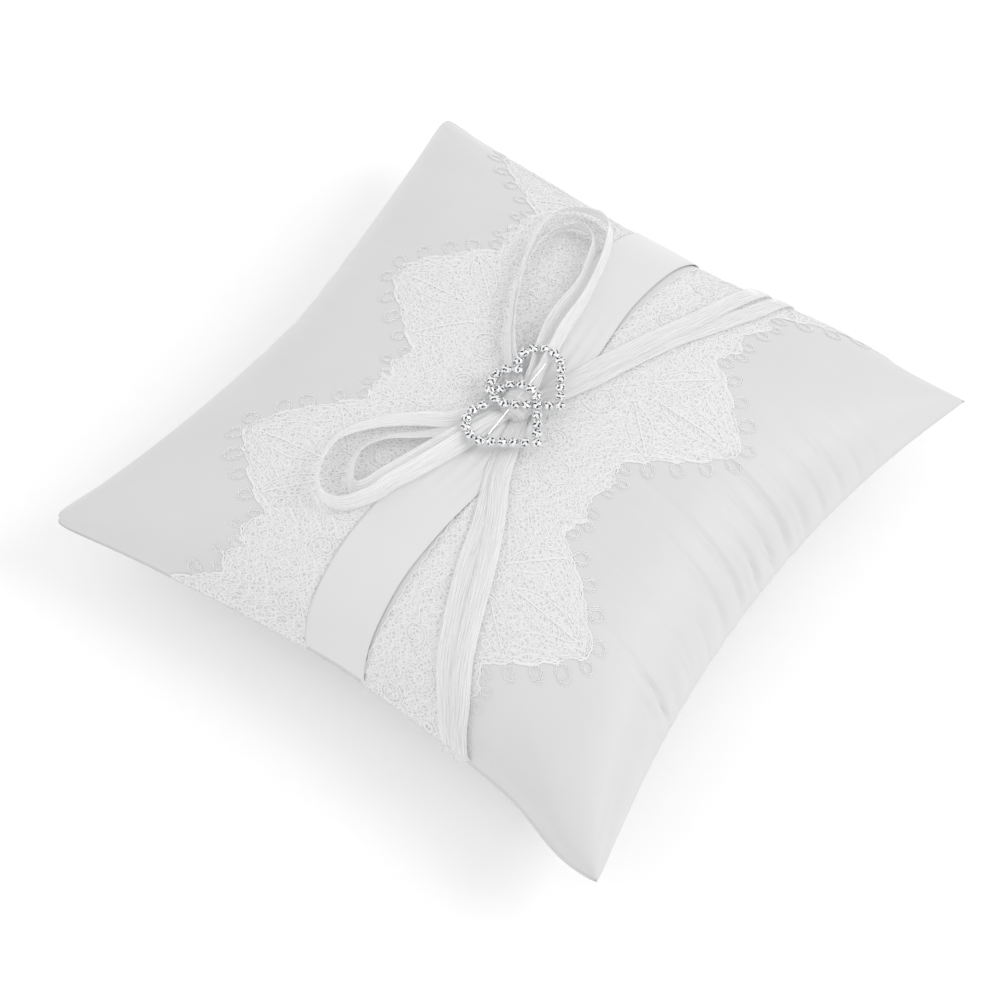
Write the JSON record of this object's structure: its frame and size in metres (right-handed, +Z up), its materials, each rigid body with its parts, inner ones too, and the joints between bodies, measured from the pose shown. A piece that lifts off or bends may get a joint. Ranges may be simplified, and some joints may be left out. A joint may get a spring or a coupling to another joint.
{
  "type": "ring bearer pillow",
  "caption": "Square stuffed satin cushion with lace edgings, a satin band, a bow of narrow ribbons and a heart-shaped rhinestone buckle, for carrying rings.",
  "frame": {"origin": "on the resting surface, below the middle of the cushion", "axes": "+Z up, +Y along the satin band towards the seam that the upper tails reach, +X across the band towards the hearts' tips"},
  "size_m": [0.201, 0.199, 0.0658],
  "materials": {
    "satin": "white polyester satin, soft sheen",
    "fibrefill": "white polyester fibrefill",
    "lace": "white chemical lace, matt embroidery thread",
    "ribbon": "white narrow satin ribbon with fine lengthwise streaks",
    "silver": "bright silver plate",
    "crystal": "clear faceted rhinestone with a foiled back"
  },
  "bodies": {
    "root": {"cover_front": "satin", "cover_back": "satin", "filling": "fibrefill", "lace_left": "lace", "lace_right": "lace", "satin_band": "satin", "bow_knot": "ribbon", "buckle": "silver", "ribbon_tail_upper_a": "ribbon", "ribbon_tail_upper_b": "ribbon", "ribbon_tail_lower_a": "ribbon", "ribbon_tail_lower_b": "ribbon", "ribbon_loop_upper_outer": "ribbon", "ribbon_loop_upper_inner": "ribbon", "ribbon_loop_lower_outer": "ribbon", "ribbon_loop_lower_inner": "ribbon", "rhinestone_01": "crystal", "rhinestone_02": "crystal", "rhinestone_03": "crystal", "rhinestone_04": "crystal", "rhinestone_05": "crystal", "rhinestone_06": "crystal", "rhinestone_07": "crystal", "rhinestone_08": "crystal", "rhinestone_09": "crystal", "rhinestone_10": "crystal", "rhinestone_11": "crystal", "rhinestone_12": "crystal", "rhinestone_13": "crystal", "rhinestone_14": "crystal", "rhinestone_15": "crystal", "rhinestone_16": "crystal", "rhinestone_17": "crystal", "rhinestone_18": "crystal", "rhinestone_19": "crystal", "rhinestone_20": "crystal", "rhinestone_21": "crystal", "rhinestone_22": "crystal", "rhinestone_23": "crystal", "rhinestone_24": "crystal", "rhinestone_25": "crystal", "rhinestone_26": "crystal", "rhinestone_27": "crystal", "rhinestone_28": "crystal", "rhinestone_29": "crystal", "rhinestone_30": "crystal", "rhinestone_31": "crystal", "rhinestone_32": "crystal", "rhinestone_33": "crystal", "rhinestone_34": "crystal", "rhinestone_35": "crystal", "rhinestone_36": "crystal", "rhinestone_37": "crystal", "rhinestone_38": "crystal", "rhinestone_39": "crystal", "rhinestone_40": "crystal", "rhinestone_41": "crystal"}
  },
  "joints": []
}
